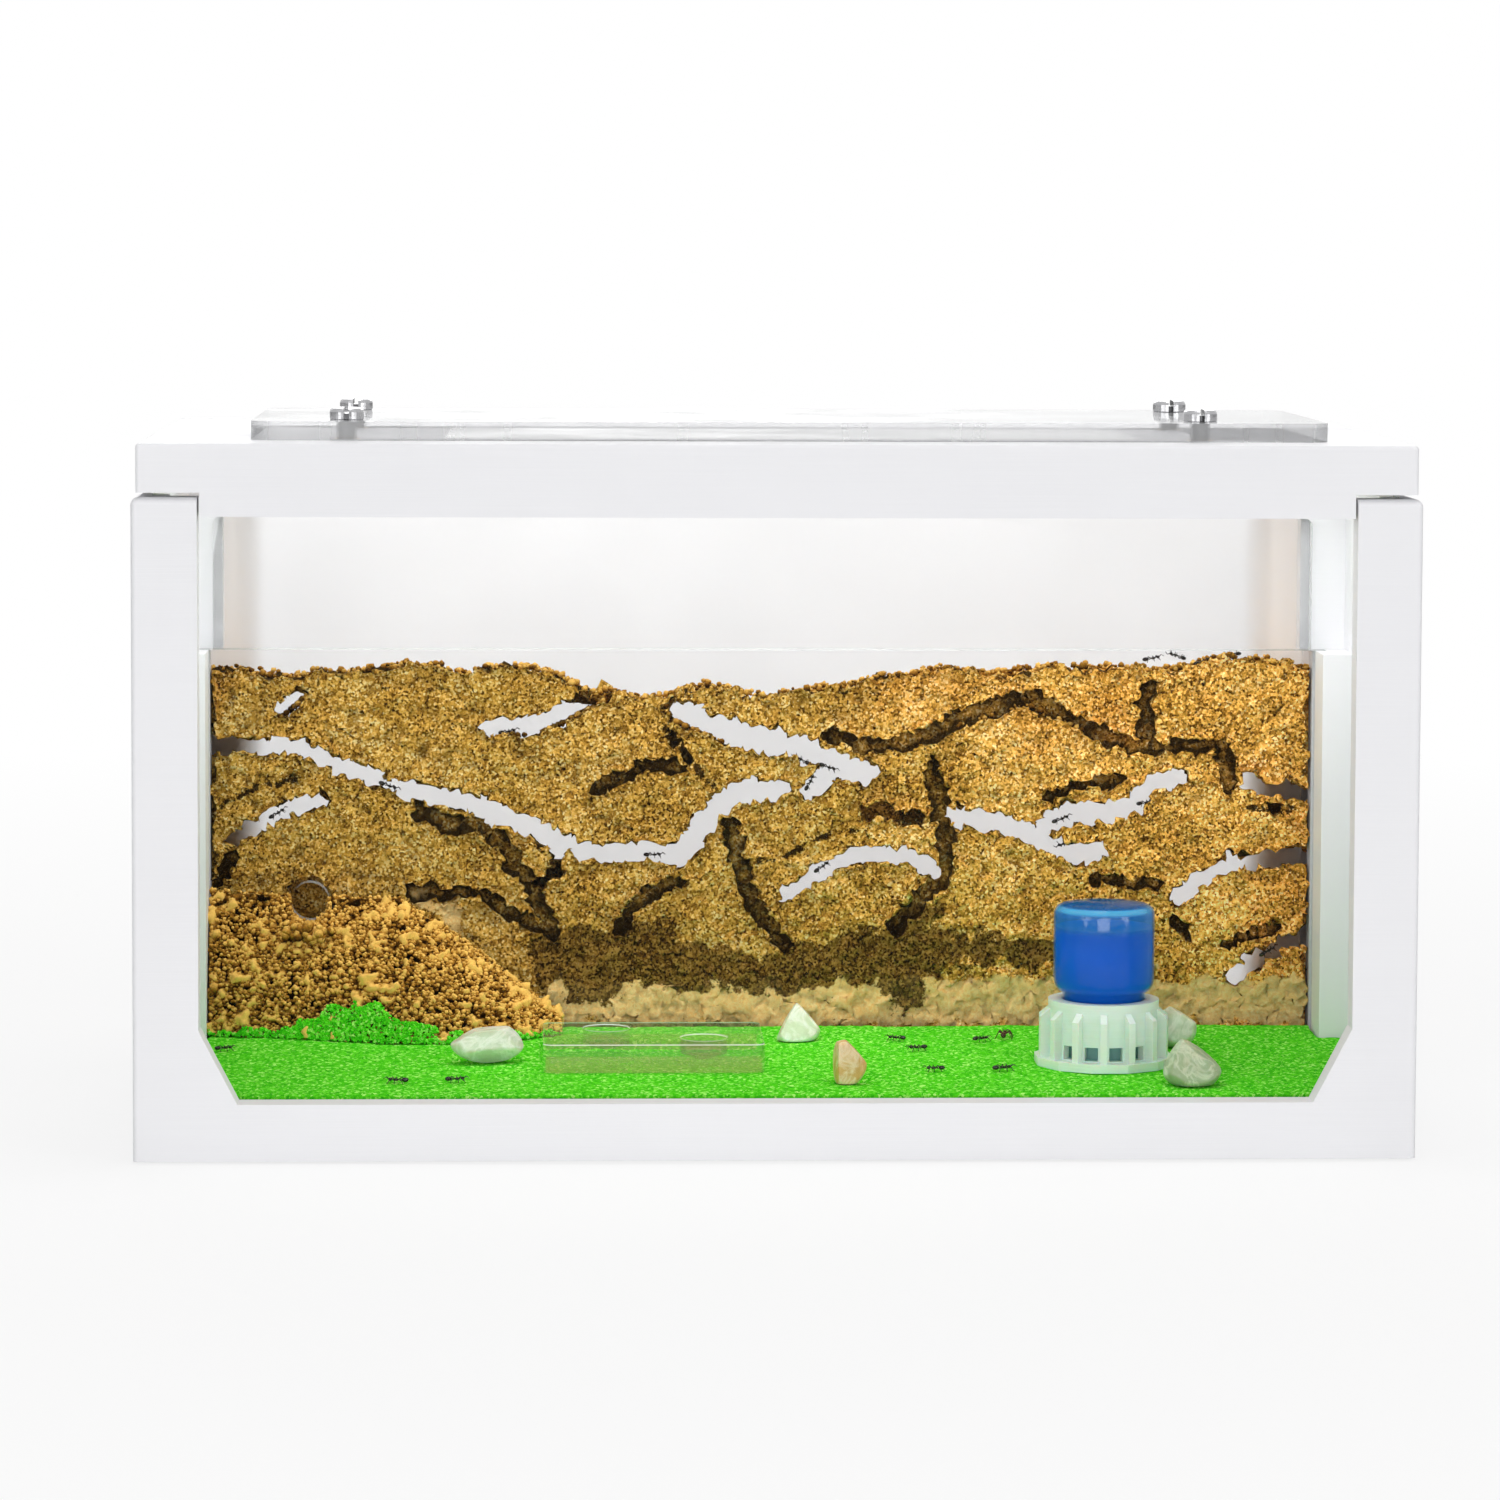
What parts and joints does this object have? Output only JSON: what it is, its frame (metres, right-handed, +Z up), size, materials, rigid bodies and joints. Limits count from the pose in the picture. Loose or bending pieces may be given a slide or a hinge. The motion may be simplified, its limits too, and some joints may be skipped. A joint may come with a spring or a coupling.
{
  "type": "ant habitat",
  "caption": "Desktop ant habitat with a printed white frame, clear panes, a tunnelled sand nest, a foraging floor with feeder and drinker, and a lift-off lid with a screwed clear hatch.",
  "frame": {"origin": "centre of the footprint, on the table", "axes": "+X to the right along the front, +Y to the back, +Z up"},
  "size_m": [0.2, 0.1, 0.1164],
  "materials": {
    "printed_white": "satin white print with fine layer lines",
    "clear_acrylic": "clear polished sheet with laser-cut edges",
    "opal_acrylic": "opal white sheet",
    "nest_sand": "packed natural sand",
    "coarse_sand": "crumbled damp sand",
    "green_sand": "dyed fine sand",
    "screw_steel": "bright plated steel",
    "insert_brass": "turned brass",
    "pale_print": "translucent pale print",
    "clear_bottle": "clear moulded plastic",
    "blue_water": "dyed water",
    "pale_pebble": "tumbled pebble",
    "tan_pebble": "tumbled pebble with a pale vein",
    "grey_pebble": "tumbled translucent pebble"
  },
  "bodies": {
    "root": {"base_frame": "printed_white", "front_pane": "clear_acrylic", "back_panel": "opal_acrylic", "nest_post_left": "printed_white", "nest_post_right": "printed_white", "nest_pane_lower": "clear_acrylic", "nest_pane_upper": "clear_acrylic", "nest_sand": "nest_sand", "foraging_floor": "green_sand", "spoil_heap": "coarse_sand", "pebble_long": "pale_pebble", "pebble_triangle": "pale_pebble", "pebble_tan": "tan_pebble", "pebble_behind_drinker": "pale_pebble", "pebble_grey": "grey_pebble"},
    "lid": {"lid": "printed_white", "thread_insert_front_left": "insert_brass", "thread_insert_front_right": "insert_brass", "thread_insert_back_left": "insert_brass", "thread_insert_back_right": "insert_brass"},
    "hatch": {"hatch_plate": "clear_acrylic"},
    "feeder": {"feeder_block": "clear_acrylic"},
    "drinker": {"drinker_base": "pale_print", "tray_water": "blue_water"},
    "bottle": {"drinker_bottle": "clear_bottle", "bottle_water": "blue_water"},
    "screw_front_left": {"hatch_screw_front_left": "screw_steel"},
    "screw_front_right": {"hatch_screw_front_right": "screw_steel"},
    "screw_back_left": {"hatch_screw_back_left": "screw_steel"},
    "screw_back_right": {"hatch_screw_back_right": "screw_steel"}
  },
  "joints": [
    {"name": "lid_lift", "type": "slide", "parent": "root", "child": "lid", "axis": [0, 0, 1], "range_m": [0, 0.09]},
    {"name": "hatch_lift", "type": "slide", "parent": "lid", "child": "hatch", "axis": [0, 0, 1], "range_m": [0, 0.04]},
    {"name": "feeder_lift", "type": "slide", "parent": "root", "child": "feeder", "axis": [0, 0, 1], "range_m": [0, 0.04]},
    {"name": "drinker_lift", "type": "slide", "parent": "root", "child": "drinker", "axis": [0, 0, 1], "range_m": [0, 0.03]},
    {"name": "bottle_lift", "type": "slide", "parent": "drinker", "child": "bottle", "axis": [0, 0, 1], "range_m": [0, 0.02]},
    {"name": "screw_front_left_turn", "type": "hinge", "parent": "hatch", "child": "screw_front_left", "pos_m": [-0.0675, -0.0298, 0.1145], "axis": [0, 0, 1], "continuous": true},
    {"name": "screw_front_right_turn", "type": "hinge", "parent": "hatch", "child": "screw_front_right", "pos_m": [0.0675, -0.0298, 0.1145], "axis": [0, 0, 1], "continuous": true},
    {"name": "screw_back_left_turn", "type": "hinge", "parent": "hatch", "child": "screw_back_left", "pos_m": [-0.0675, 0.0118, 0.1145], "axis": [0, 0, 1], "continuous": true},
    {"name": "screw_back_right_turn", "type": "hinge", "parent": "hatch", "child": "screw_back_right", "pos_m": [0.0675, 0.0118, 0.1145], "axis": [0, 0, 1], "continuous": true}
  ]
}
